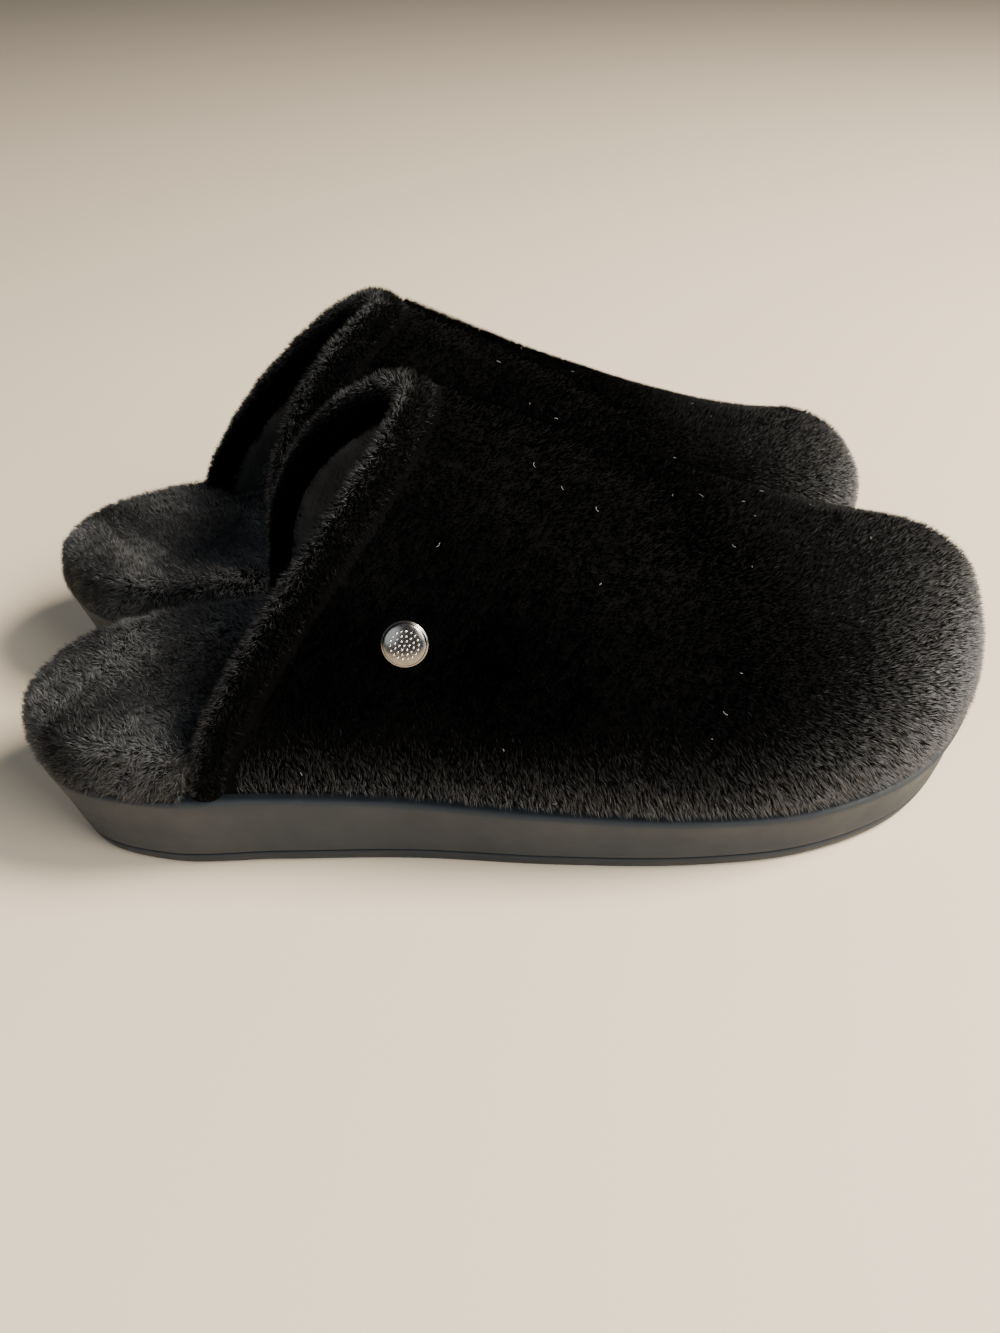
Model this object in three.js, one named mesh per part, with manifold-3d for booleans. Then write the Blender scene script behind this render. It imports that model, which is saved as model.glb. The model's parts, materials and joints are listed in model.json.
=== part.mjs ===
// A pair of plush clog slippers: backless mules with a thick foam sole, a closed plush toe,
// a padded plush cuff round the foot opening and one metal stud on the outer side.
// Units are millimetres. Both slippers stand on Z = 0 with their toes towards +X, the right slipper
// on the -Y side, and the origin is the centre of the pair's footprint.
// Each slipper is modelled as a right one in its own frame: x runs from the heel tip to the toe,
// y is positive towards the inner (medial) side, and the left slipper is its mirror image.
import * as THREE from "three";
import { mergeVertices } from "three/addons/utils/BufferGeometryUtils.js";
import Module from "manifold-3d";

const wasm = await Module();
wasm.setup();

// ---- driving dimensions ----
const GAP = 0.3; // air left between two pieces that touch
const SOLE_LENGTH = 268;
const SLIPPER_SPACING = 79; // between the two heel tips
const TOE_OUT = 2; // degrees that each slipper is turned outwards

const OUTSOLE_THICK = 4;
const TREAD_DEPTH = 1.6;
const TREAD_WIDTH = 3.2;
const TREAD_GROOVES = [30, 46, 62, 142, 158, 174, 190, 206]; // from the heel tip
const BOARD_THICK = 2;
const FILLER_THICK = 1.2;
const SOCK_THICK = 3.5;

const PLUSH_THICK = 3; // the outer cover of the upper
const PADDING_THICK = 2;
const LINING_THICK = 3;
const UPPER_INSET = 1; // from the sole's top edge in to the foot of the upper
const LASTING_MARGIN = 12; // turned in under the insole board

const UPPER_BULGE = 5; // the upper's walls swell out over the sole's edge

// The two sides of the upper. topline is how far along the sole its rear edge comes down; lean is
// 1 for a straight rear edge and more for one that starts upright; fullness is 1 for a round
// cross-section and less for a squarer one; shoulder is where the open footbed's skirt ends.
const LATERAL_SIDE = { topline: 0.244, lean: 1.35, fullness: 0.9, shoulder: 33.5 };
const MEDIAL_SIDE = { topline: 0.31, lean: 2.8, fullness: 0.72, shoulder: 57 };

const TOE_FULLNESS = 1;
const CREST_X = 115; // the highest point of the foot opening
const CREST_Y = 12;
const CREST_Z = 111;
const RIDGE_SWAY = 7; // the ridge's bend towards the inner side, halfway along
const RIDGE_END_X = 234; // where the ridge of the toe box ends
const RIDGE_END_Y = 10;
const RIDGE_END_Z = 65;

const CUFF_WIDTH = 9.5;
const CUFF_THICK = 10.5;
const CUFF_WALL = 2.5;
const CUFF_GAP = 0.9; // between the cuff and the upper's rear edge

const STUD_RADIUS = 5.6;
const STUD_HEIGHT = 2.6;
const STUD_POST_RADIUS = 1.5;
const WASHER_RADIUS = 4.5;
const WASHER_THICK = 0.8;

const LATERAL = -1;
const MEDIAL = 1;
const shapeOf = (side) => (side === LATERAL ? LATERAL_SIDE : MEDIAL_SIDE);
const { lerp, smoothstep, degToRad } = THREE.MathUtils;
const withHeight = (point, z) => new THREE.Vector3(point.x, point.y, z);

// ---- shapes shared by the pieces ----

// The edge of the sole's top seen from above, from the heel tip round the lateral side to the toe tip
// and back along the medial side, with the same number of points on each side.
const LATERAL_EDGE = [[10, -21], [32, -32], [62, -35.5], [96, -40], [132, -48.5], [168, -55],
  [200, -56], [230, -48], [251, -31.5], [264, -12]];
const MEDIAL_EDGE = [[265, 21], [253, 33.5], [231, 40], [200, 41.5], [168, 38.5], [132, 34.5],
  [96, 34.5], [62, 36.5], [32, 35], [10, 23.5]];
const TOE_TIP = [SOLE_LENGTH, 6];
const outline = new THREE.CatmullRomCurve3(
  [[0, 0], ...LATERAL_EDGE, TOE_TIP, ...MEDIAL_EDGE].map(([x, y]) => new THREE.Vector3(x, y, 0)),
  true,
  "centripetal",
);

// A smooth height profile through [x, z] knots.
function profile(knots) {
  const last = knots.length - 1;
  const slope = (i) => {
    const [x0, z0] = knots[Math.max(i - 1, 0)];
    const [x1, z1] = knots[Math.min(i + 1, last)];
    return (z1 - z0) / (x1 - x0);
  };
  return (x) => {
    const i = Math.min(Math.max(knots.findIndex(([k]) => k > x) - 1, 0), last - 1);
    const k = x >= knots[last][0] ? last - 1 : i;
    const [x0, z0] = knots[k];
    const [x1, z1] = knots[k + 1];
    const width = x1 - x0;
    const t = Math.min(Math.max((x - x0) / width, 0), 1);
    const rise = (z1 - z0) * t * t * (3 - 2 * t);
    return z0 + rise + width * t * (1 - t) * (slope(k) * (1 - t) - slope(k + 1) * t);
  };
}
const soleTop = profile([[0, 28], [60, 26], [120, 21.5], [180, 18.5], [225, 19.5], [268, 24]]);
const ground = profile([[0, 3], [14, 0.6], [26, 0], [60, 0], [196, 0], [226, 1.2], [250, 4.4], [268, 9]]);
const footbedThick = profile([[0, 7.5], [40, 7.5], [100, 9], [160, 7], [210, 5], [268, 4]]);
const ridgeHeight = profile([[CREST_X, CREST_Z], [140, 98.5], [168, 83.5], [200, 67], [RIDGE_END_X, RIDGE_END_Z]]);

// A point of the sole's outline moved in by inset: u is 0 at the heel tip and 1 at the toe tip.
function edge(u, side, inset = 0) {
  const at = (t) => outline.getPoint(((t % 1) + 1) % 1);
  const t = side === LATERAL ? u / 2 : 1 - u / 2;
  const step = 1e-3;
  const along = at(t + step).sub(at(t - step)).normalize();
  const inward = new THREE.Vector3(-along.y, along.x, 0);
  return at(t).addScaledVector(inward, inset);
}

// The line down the middle that the sole's cross-sections fan out from.
const HEEL_CENTRE = 34;
const TOE_CENTRE = 42;
function spine(u) {
  const middle = edge(u, LATERAL).add(edge(u, MEDIAL)).multiplyScalar(0.5);
  middle.x = lerp(HEEL_CENTRE, SOLE_LENGTH - TOE_CENTRE, middle.x / SOLE_LENGTH);
  return middle;
}

// A point over the ray from the spine to the edge, inset from the edge and lifted above the sole's
// top, which is straight along every ray.
function solePoint(u, side, inset, lift = 0) {
  const rim = edge(u, side);
  const middle = spine(u);
  const inward = edge(u, side, 1).sub(rim);
  const ray = middle.clone().sub(rim);
  const share = inset / Math.max(ray.dot(inward), inset);
  const point = rim.clone().addScaledVector(ray, share);
  point.z = lerp(soleTop(rim.x), soleTop(middle.x), share) + lift;
  return point;
}

function spinePoint(u, lift = 0) {
  const middle = spine(u);
  return withHeight(middle, soleTop(middle.x) + lift);
}

// Where the cross-sections stand: along the sole, closer together near the ends of the cuff, and
// along the upper from the foot opening (0) to the toe tip (1).
const SOLE_STATIONS = [0, 0.05, 0.1, 0.14, 0.165, 0.18, 0.193, 0.212, 0.235, 0.247, 0.258, 0.27, 0.3, 0.38,
  0.46, 0.54, 0.62, 0.7, 0.77, 0.83, 0.88, 0.92, 0.955, 0.98, 1];
const UPPER_STATIONS = [0, 0.08, 0.18, 0.28, 0.38, 0.47, 0.56, 0.65, 0.73, 0.8, 0.86, 0.91, 0.955, 1];
const soleStation = (w, side) => lerp(shapeOf(side).topline, 1, w);

// 0 behind the cuff, where the plush footbed reaches the sole's edge, and 1 under the upper.
const underUpper = (x, side) => smoothstep(x, shapeOf(side).shoulder - 2, shapeOf(side).shoulder + 2);

// ---- mesh building ----

// A closed surface through rings of points. The ends are left as they are when their rings are
// folded flat, joined to each other when the rings form a loop, and otherwise capped across.
function loft(rings, { loop = false, capStart = false, capEnd = false } = {}) {
  const n = rings[0].length;
  const points = rings.flat();
  const at = (i, j) => (i % rings.length) * n + (j % n);
  const index = [];
  // Split along the shorter diagonal, so surfaces that lie together are split alike.
  const quad = (a, b, c, d) => {
    const acrossBd = points[b].distanceTo(points[d]) < points[a].distanceTo(points[c]) - 1e-3;
    index.push(...(acrossBd ? [a, b, d, b, c, d] : [a, b, c, a, c, d]));
  };
  const last = loop ? rings.length : rings.length - 1;
  for (let i = 0; i < last; i++) {
    for (let j = 0; j < n; j++) quad(at(i, j), at(i + 1, j), at(i + 1, j + 1), at(i, j + 1));
  }
  for (let j = 0; j < n / 2 - 1; j++) {
    if (capStart) quad(at(0, j), at(0, j + 1), at(0, n - 2 - j), at(0, n - 1 - j));
    if (capEnd) quad(at(last, n - 1 - j), at(last, n - 2 - j), at(last, j + 1), at(last, j));
  }
  const positions = new Float32Array(points.flatMap((p) => [p.x, p.y, p.z]));
  const geometry = new THREE.BufferGeometry();
  geometry.setAttribute("position", new THREE.BufferAttribute(positions, 3));
  geometry.setIndex(index);
  return facingOut(mergeVertices(geometry, 1e-4));
}

// Drops triangles that have collapsed and turns the rest to face outwards.
function facingOut(geometry) {
  const p = geometry.getAttribute("position");
  const corner = (i) => new THREE.Vector3().fromBufferAttribute(p, i);
  const kept = [];
  let volume = 0;
  for (let i = 0; i < geometry.index.count; i += 3) {
    const [a, b, c] = [0, 1, 2].map((k) => geometry.index.getX(i + k));
    if (a === b || b === c || c === a) continue;
    kept.push([a, b, c]);
    volume += corner(a).dot(corner(b).cross(corner(c)));
  }
  geometry.setIndex(kept.flatMap(([a, b, c]) => (volume < 0 ? [a, c, b] : [a, b, c])));
  return geometry;
}

// A ring across the sole at u, from a half section that runs from the top of the spine, round the
// edge, to the bottom of the spine.
function soleRing(u, half) {
  const lateral = half(u, LATERAL);
  const medial = half(u, MEDIAL);
  return [...lateral, ...medial.slice(1, -1).reverse()];
}

function toSolid(geometry) {
  const bare = new THREE.BufferGeometry();
  bare.setAttribute("position", geometry.getAttribute("position").clone());
  if (geometry.index) bare.setIndex(geometry.index.clone());
  const merged = mergeVertices(bare, 1e-4);
  const vertProperties = merged.getAttribute("position").array;
  return new wasm.Manifold(new wasm.Mesh({ numProp: 3, vertProperties, triVerts: new Uint32Array(merged.index.array) }));
}

function toGeometry(solid) {
  const mesh = solid.getMesh();
  const geometry = new THREE.BufferGeometry();
  geometry.setAttribute("position", new THREE.BufferAttribute(mesh.vertProperties, 3));
  geometry.setIndex(new THREE.BufferAttribute(mesh.triVerts, 1));
  return geometry;
}

const cut = (geometry, ...tools) =>
  toGeometry(tools.reduce((solid, tool) => solid.subtract(toSolid(tool)), toSolid(geometry)));

// ---- the sole unit ----

// How far the sole's wall leans in from its top edge by the time it reaches the ground.
function wallLean(u) {
  const heel = 1 - smoothstep(u, 0.05, 0.4);
  const toe = smoothstep(u, 0.8, 1);
  return 3.5 + 3.5 * heel + 4 * toe;
}

// A point on the sole's wall, level 0 at the ground and 1 at the top edge, moved in by inset.
function wallPoint(u, side, level, inset = 0) {
  const lean = wallLean(u) * (1 - level) ** 1.25;
  const point = edge(u, side, lean + inset);
  return withHeight(point, lerp(ground(point.x), soleTop(point.x), level));
}

// The point on the wall where the outsole and the midsole meet.
function jointPoint(u, side) {
  const foot = edge(u, side, wallLean(u));
  const point = wallPoint(u, side, OUTSOLE_THICK / (soleTop(foot.x) - ground(foot.x)));
  return withHeight(point, ground(point.x) + OUTSOLE_THICK);
}

function midsole() {
  const half = (u, side) => {
    const middle = spine(u);
    const wall = [0.93, 0.65].map((level) => wallPoint(u, side, level));
    const foot = jointPoint(u, side);
    return [
      spinePoint(u),
      solePoint(u, side, 1.2),
      ...wall,
      withHeight(foot, foot.z + GAP),
      withHeight(middle, ground(middle.x) + OUTSOLE_THICK + GAP),
    ];
  };
  return loft(SOLE_STATIONS.map((u) => soleRing(u, half)));
}

// One groove across the tread, bent forward in the middle.
function treadGroove(x) {
  const reach = 62;
  const bend = 6;
  const line = [[x, -reach], [x + bend, 0], [x, reach]];
  const shape = new THREE.Shape([
    ...line.map(([at, y]) => new THREE.Vector2(at - TREAD_WIDTH / 2, y)),
    ...line.reverse().map(([at, y]) => new THREE.Vector2(at + TREAD_WIDTH / 2, y)),
  ]);
  const below = 10;
  const groove = new THREE.ExtrudeGeometry(shape, { depth: below + TREAD_DEPTH, bevelEnabled: false });
  return groove.translate(0, 0, ground(x) - below);
}

function outsole() {
  const half = (u, side) => {
    const middle = spine(u);
    const foot = wallPoint(u, side, 0, 1);
    return [
      withHeight(middle, ground(middle.x) + OUTSOLE_THICK),
      jointPoint(u, side),
      withHeight(foot, ground(foot.x)),
      withHeight(middle, ground(middle.x)),
    ];
  };
  const grooves = TREAD_GROOVES.map(treadGroove);
  return cut(loft(SOLE_STATIONS.map((u) => soleRing(u, half))), ...grooves);
}

// A flat sheet that follows the top of the sole, from `low` to `high` above it.
function soleSheet(low, high, insetAt) {
  const half = (u, side) => {
    const inset = insetAt(edge(u, side).x, side);
    return [
      spinePoint(u, high),
      solePoint(u, side, inset, high),
      solePoint(u, side, inset, low),
      spinePoint(u, low),
    ];
  };
  return loft(SOLE_STATIONS.map((u) => soleRing(u, half)));
}

const HEEL_CORE_INSET = 1 + SOCK_THICK + 2 * GAP;
const FLANGE_TOP = GAP + FILLER_THICK;
const BOARD_LOW = FLANGE_TOP + GAP;
const BOARD_HIGH = BOARD_LOW + BOARD_THICK;

function bottomFiller() {
  const flangeInset = UPPER_INSET + PLUSH_THICK + LASTING_MARGIN + 1;
  const insetAt = (x, side) => lerp(HEEL_CORE_INSET, flangeInset, underUpper(x, side));
  return soleSheet(GAP, FLANGE_TOP, insetAt);
}

function insoleBoard() {
  return soleSheet(BOARD_LOW, BOARD_HIGH, (x, side) => lerp(HEEL_CORE_INSET, 12.5, underUpper(x, side)));
}

// ---- the footbed ----

// Height of the foam footbed's surface over the board: a heel cup, an arch rise on the medial side
// and a flat forefoot.
function footbedRise(x, y) {
  const cup = Math.exp(-(((x - 40) / 34) ** 2) - (y / 22) ** 2);
  const arch = Math.exp(-(((x - 105) / 34) ** 2) - ((y - 30) / 16) ** 2);
  return footbedThick(x) - 3.2 * cup + 5 * arch;
}

const FOAM_LOW = BOARD_HIGH + GAP;
const coreInset = (x, side) =>
  lerp(HEEL_CORE_INSET, 14.4 + 2.4 * smoothstep(x, 190, 262), underUpper(x, side));

// A point on the footbed's rim, `lift` above the foam's surface or below it.
function footbedRim(u, side, inset, lift) {
  const point = solePoint(u, side, inset);
  return withHeight(point, point.z + FOAM_LOW + footbedRise(point.x, point.y) + lift);
}

// Points across the footbed from the spine out to its rim, `lift` above the foam's surface.
function footbedAcross(u, side, inset, lift) {
  return [0, 0.4, 0.72, 0.93].map((share) => {
    const point = spinePoint(u).lerp(solePoint(u, side, inset), share);
    return withHeight(point, point.z + FOAM_LOW + footbedRise(point.x, point.y) + lift);
  });
}

function footbedFoam() {
  const half = (u, side) => {
    const inset = coreInset(edge(u, side).x, side);
    return [
      ...footbedAcross(u, side, inset, 0),
      footbedRim(u, side, inset, -2),
      solePoint(u, side, inset, FOAM_LOW),
      spinePoint(u, FOAM_LOW),
    ];
  };
  return loft(SOLE_STATIONS.map((u) => soleRing(u, half)));
}

// The plush cover of the footbed. Behind the cuff its skirt wraps the footbed down to the sole.
function sockCover() {
  const half = (u, side) => {
    const x = edge(u, side).x;
    const under = underUpper(x, side);
    const inner = coreInset(x, side) - GAP;
    const skirtEnd = shapeOf(side).shoulder - 2;
    const outer = inner - lerp(SOCK_THICK, 0.8, under);
    const skirtFoot = (inset) => {
      const low = solePoint(u, side, inset, GAP);
      return low.lerp(footbedRim(u, side, inset, -3.5), smoothstep(x, skirtEnd - 4, skirtEnd));
    };
    return [
      ...footbedAcross(u, side, outer, SOCK_THICK + GAP),
      footbedRim(u, side, outer, -0.5),
      skirtFoot(outer),
      skirtFoot(inner),
      footbedRim(u, side, inner, -1),
      ...footbedAcross(u, side, inner + GAP, GAP).reverse(),
    ];
  };
  return loft(SOLE_STATIONS.map((u) => soleRing(u, half)));
}

// ---- the upper ----

function ridgePoint(w) {
  const x = lerp(CREST_X, RIDGE_END_X, w);
  const y = lerp(CREST_Y, RIDGE_END_Y, w) + RIDGE_SWAY * 4 * w * (1 - w);
  return new THREE.Vector3(x, y, ridgeHeight(x));
}

const fullnessAt = (w, side) => lerp(shapeOf(side).fullness, TOE_FULLNESS, w);

// The outside of the upper: w is 0 at the foot opening and 1 at the toe tip; a is -1 at the lateral
// edge, 0 on the ridge and 1 at the medial edge. Past the toe tip it comes back on the other side.
function upperPoint(w, a) {
  if (w > 1) return upperPoint(2 - w, -a);
  const side = a < 0 ? LATERAL : MEDIAL;
  const { lean } = shapeOf(side);
  const fullness = fullnessAt(w, side);
  const u = soleStation(w, side);
  const base = solePoint(u, side, UPPER_INSET, GAP);
  const ridge = ridgePoint(w);
  const angle = ((1 - Math.abs(a)) * Math.PI) / 2;
  const [sin, cos] = [Math.sin(angle), Math.cos(angle)];
  const across = 1 - cos ** fullness;
  const along = lerp(Math.abs(sin) ** lean, across, w ** 3);
  const swell = lerp(0.3, 1, smoothstep(w, 0, 0.25)) * UPPER_BULGE * sin * cos ** 3 * 3;
  const point = new THREE.Vector3(
    lerp(base.x, ridge.x, along),
    lerp(base.y, ridge.y, across),
    lerp(base.z, ridge.z, Math.sign(sin) * Math.abs(sin) ** fullness),
  );
  const inward = edge(u, side, 1).sub(edge(u, side));
  return point.addScaledVector(inward, -swell);
}

function upperNormal(w, a) {
  const step = 1e-3;
  const alongW = upperPoint(w + step, a).sub(upperPoint(w - step, a));
  const alongA = upperPoint(w, a + step).sub(upperPoint(w, a - step));
  const normal = alongW.cross(alongA);
  return normal.length() < 1e-9 ? new THREE.Vector3(0, 0, 1) : normal.normalize();
}

const upperOffset = (w, a, depth) => upperPoint(w, a).addScaledVector(upperNormal(w, a), -depth);

// The place round the section where the upper is `height` above the sole.
function edgeShare(w, side, height) {
  const base = upperPoint(w, side);
  const ridge = ridgePoint(w);
  const rise = (height / (ridge.z - base.z)) ** (1 / fullnessAt(w, side));
  return 1 - (Math.asin(rise) * 2) / Math.PI;
}

const ARC_STEPS = 6;

// A layer of the upper between two depths, standing `height` above the sole, over stations w0 to w1.
// `turnIn` adds the lasting margin, which runs in under the insole board.
function upperLayer(outerDepth, innerDepth, height, { from = 0, to = 1, turnIn = 0 } = {}) {
  const places = (w, depth, low) => {
    const list = [];
    for (const side of [LATERAL, MEDIAL]) {
      const half = Array.from({ length: ARC_STEPS + 1 }, (_, i) => side * (1 - i / ARC_STEPS));
      half[0] = side * edgeShare(w, side, low);
      if (side === LATERAL) list.push(...half);
      else list.push(...half.reverse().slice(1));
    }
    return list.map((a, i) => {
      const point = upperOffset(w, a, depth);
      const foot = i === 0 || i === list.length - 1;
      return foot ? withHeight(point, upperPoint(w, a).z) : point;
    });
  };
  const margin = (w, side, lift) =>
    solePoint(soleStation(w, side), side, UPPER_INSET + innerDepth + turnIn, lift);
  const ring = (w) => {
    const outer = places(w, outerDepth, height);
    const inner = places(w, innerDepth, turnIn ? FLANGE_TOP : height);
    if (turnIn) {
      outer.unshift(margin(w, LATERAL, GAP));
      outer.push(margin(w, MEDIAL, GAP));
      inner.unshift(margin(w, LATERAL, FLANGE_TOP));
      inner.push(margin(w, MEDIAL, FLANGE_TOP));
    }
    return [...outer, ...inner.reverse()];
  };
  const stations = UPPER_STATIONS.filter((w) => w >= from && w <= to);
  return loft(stations.map(ring), { capStart: true, capEnd: to < 1 });
}

const PADDING_DEPTH = PLUSH_THICK + GAP;
const LINING_DEPTH = PADDING_DEPTH + PADDING_THICK + GAP;
const UPPER_THICK = LINING_DEPTH + LINING_THICK;
const PADDING_TO = 0.73; // the toe puff takes the padding's place from here on
const TOE_PUFF_FROM = 0.8;

// ---- the cuff ----

// The cuff's cross-section where it stands at `a` round the foot opening, shrunk by `wall`.
const CUFF_STEPS = 20;
const CUFF_SIDES = 10;
function cuffRing(a, wall) {
  const step = 1e-3;
  const normal = upperNormal(0, a);
  const tangent = upperPoint(0, Math.min(a + step, 1)).sub(upperPoint(0, Math.max(a - step, -1))).normalize();
  const back = tangent.clone().cross(normal).normalize();
  if (back.x > 0) back.negate();
  const centre = upperPoint(0, a)
    .addScaledVector(normal, -UPPER_THICK / 2 + 0.4)
    .addScaledVector(back, CUFF_WIDTH / 2 + CUFF_GAP);
  return Array.from({ length: CUFF_SIDES }, (_, i) => {
    const turn = ((i + 0.5) / CUFF_SIDES) * 2 * Math.PI;
    const point = centre
      .clone()
      .addScaledVector(back, Math.cos(turn) * (CUFF_WIDTH / 2 - wall))
      .addScaledVector(normal, Math.sin(turn) * (CUFF_THICK / 2 - wall));
    if (Math.abs(a) === 1) point.z = soleTop(point.x) + GAP;
    return point;
  });
}

function cuffRings(wall) {
  return Array.from({ length: CUFF_STEPS + 1 }, (_, i) => cuffRing(lerp(-1, 1, i / CUFF_STEPS), wall));
}

const cuffCover = () => loft([...cuffRings(0), ...cuffRings(CUFF_WALL).reverse()], { loop: true });
const cuffPadding = () => loft(cuffRings(CUFF_WALL + 2 * GAP), { capStart: true, capEnd: true });

// The thread that sews the cuff to the upper lies in the groove between them.
function cuffThread() {
  const radius = 0.45;
  const steps = 26;
  const points = Array.from({ length: steps + 1 }, (_, i) => {
    const a = lerp(-0.97, 0.97, i / steps);
    return upperPoint(0, a).addScaledVector(upperNormal(0, a), radius + 0.35);
  });
  const section = new THREE.Shape().absarc(0, 0, radius, 0, 2 * Math.PI);
  return new THREE.ExtrudeGeometry(section, {
    steps,
    curveSegments: 2,
    bevelEnabled: false,
    extrudePath: new THREE.CatmullRomCurve3(points),
  });
}

// ---- the stud ----

// The stud stands square to the upper on its outer side. Its own axis is +Y before it is placed.
const STUD_W = 0.106;
const STUD_A = -0.657;
function placeOnUpper(geometry) {
  const normal = upperNormal(STUD_W, STUD_A);
  const turn = new THREE.Quaternion().setFromUnitVectors(new THREE.Vector3(0, 1, 0), normal);
  const point = upperPoint(STUD_W, STUD_A);
  return geometry.applyQuaternion(turn).translate(point.x, point.y, point.z);
}

const disc = (radius, low, high, sides = 14) =>
  placeOnUpper(new THREE.CylinderGeometry(radius, radius, high - low, sides).translate(0, (low + high) / 2, 0));

const CAP_SEAT = 0.6; // the cap's back stands this far off the plush, which bulges round it
const capProfile = (share) => CAP_SEAT + 1 + (STUD_HEIGHT - 1) * Math.sqrt(1 - share * share * 0.9);

// A domed cap with a ring pattern of small raised beads.
function studCap() {
  const shares = [1, 0.85, 0.6, 0.3, 0];
  const points = [
    new THREE.Vector2(0, CAP_SEAT),
    new THREE.Vector2(STUD_RADIUS - 0.5, CAP_SEAT),
    new THREE.Vector2(STUD_RADIUS, CAP_SEAT + 0.5),
    ...shares.map((share) => new THREE.Vector2(share * STUD_RADIUS, capProfile(share))),
  ];
  let cap = toSolid(new THREE.LatheGeometry(points, 18));
  const beadRadius = 0.5;
  for (const [count, share] of [[1, 0], [6, 0.33], [12, 0.66]]) {
    for (let i = 0; i < count; i++) {
      const turn = (i / count) * 2 * Math.PI;
      const bead = new THREE.OctahedronGeometry(beadRadius);
      const reach = share * STUD_RADIUS;
      bead.translate(reach * Math.cos(turn), capProfile(share), reach * Math.sin(turn));
      cap = cap.add(toSolid(bead));
    }
  }
  return placeOnUpper(toGeometry(cap));
}

const studPost = () => disc(STUD_POST_RADIUS, WASHER_HIGH + GAP, CAP_SEAT - GAP, 10);

// The washer is sunk into the back of the padding, under the plush lining.
const WASHER_HIGH = -PADDING_DEPTH - WASHER_THICK;
const studWasher = () => disc(WASHER_RADIUS, WASHER_HIGH - WASHER_THICK, WASHER_HIGH);

function upperShell() {
  const shell = upperLayer(0, PLUSH_THICK, GAP, { turnIn: LASTING_MARGIN });
  return cut(shell, disc(STUD_POST_RADIUS + GAP, -8, 8, 10));
}

function upperPadding() {
  const padding = upperLayer(PADDING_DEPTH, PADDING_DEPTH + PADDING_THICK, FLANGE_TOP + GAP, { to: PADDING_TO });
  return cut(
    padding,
    disc(STUD_POST_RADIUS + GAP, -8, 8, 10),
    disc(WASHER_RADIUS + GAP, -12, WASHER_HIGH + GAP),
  );
}

// A stiffener a little thinner than the padding that it follows.
function toePuff() {
  const spare = 0.15;
  const [outer, inner] = [PADDING_DEPTH + spare, PADDING_DEPTH + PADDING_THICK - spare];
  return upperLayer(outer, inner, FLANGE_TOP + GAP, { from: TOE_PUFF_FROM });
}

// ---- one slipper ----

const rubber = new THREE.MeshStandardMaterial({ color: 0x2b2a28, roughness: 0.85 });
const foam = new THREE.MeshStandardMaterial({ color: 0x4a4946, roughness: 0.75 });
const innerFoam = new THREE.MeshStandardMaterial({ color: 0xb9b2a4, roughness: 0.9 });
const board = new THREE.MeshStandardMaterial({ color: 0x8a6f52, roughness: 0.9 });
const plush = new THREE.MeshStandardMaterial({ color: 0x0b0b0c, roughness: 1 });
const thread = new THREE.MeshStandardMaterial({ color: 0x141414, roughness: 0.7 });
const resin = new THREE.MeshStandardMaterial({ color: 0xc9c2b0, roughness: 0.6 });
const metal = new THREE.MeshStandardMaterial({ color: 0xb4b2ae, roughness: 0.3, metalness: 1 });

const PIECES = [
  ["outsole", outsole(), rubber],
  ["midsole", midsole(), foam],
  ["bottom_filler", bottomFiller(), innerFoam],
  ["insole_board", insoleBoard(), board],
  ["footbed_foam", footbedFoam(), innerFoam],
  ["footbed_cover", sockCover(), plush],
  ["upper_shell", upperShell(), plush],
  ["upper_padding", upperPadding(), innerFoam],
  ["toe_puff", toePuff(), resin],
  ["upper_lining", upperLayer(LINING_DEPTH, UPPER_THICK, FLANGE_TOP + GAP), plush],
  ["cuff_cover", cuffCover(), plush],
  ["cuff_padding", cuffPadding(), innerFoam],
  ["cuff_thread", cuffThread(), thread],
  ["stud_cap", studCap(), metal],
  ["stud_post", studPost(), metal],
  ["stud_washer", studWasher(), metal],
];

function slipper(side) {
  const group = new THREE.Group();
  for (const [name, geometry, material] of PIECES) {
    const mesh = new THREE.Mesh(geometry, material);
    mesh.name = `${side}_${name}`;
    group.add(mesh);
  }
  return group;
}

// ---- the pair ----

const pair = new THREE.Group();
const right = slipper("right");
const left = slipper("left");
left.scale.y = -1;
for (const [group, way] of [[right, -1], [left, 1]]) {
  group.position.y = (way * SLIPPER_SPACING) / 2;
  group.rotation.z = way * degToRad(TOE_OUT);
  pair.add(group);
}
const footprint = new THREE.Box3().setFromObject(pair, true).getCenter(new THREE.Vector3());
for (const group of [right, left]) {
  group.position.x -= footprint.x;
  group.position.y -= footprint.y;
}

export default pair;
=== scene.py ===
"""Looks of a pair of plush clog slippers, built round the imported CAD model.

Shapes are worked out in millimetres in one slipper's own frame, as in the CAD part: x runs from the
heel tip to the toe, y is positive towards the inner side and z is up from the floor. They are then
placed in the row frame, in metres. The left slipper is the mirror image of the right one.
"""

import json
import math

import bpy
import numpy as np
from mathutils import Matrix, Vector

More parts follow.
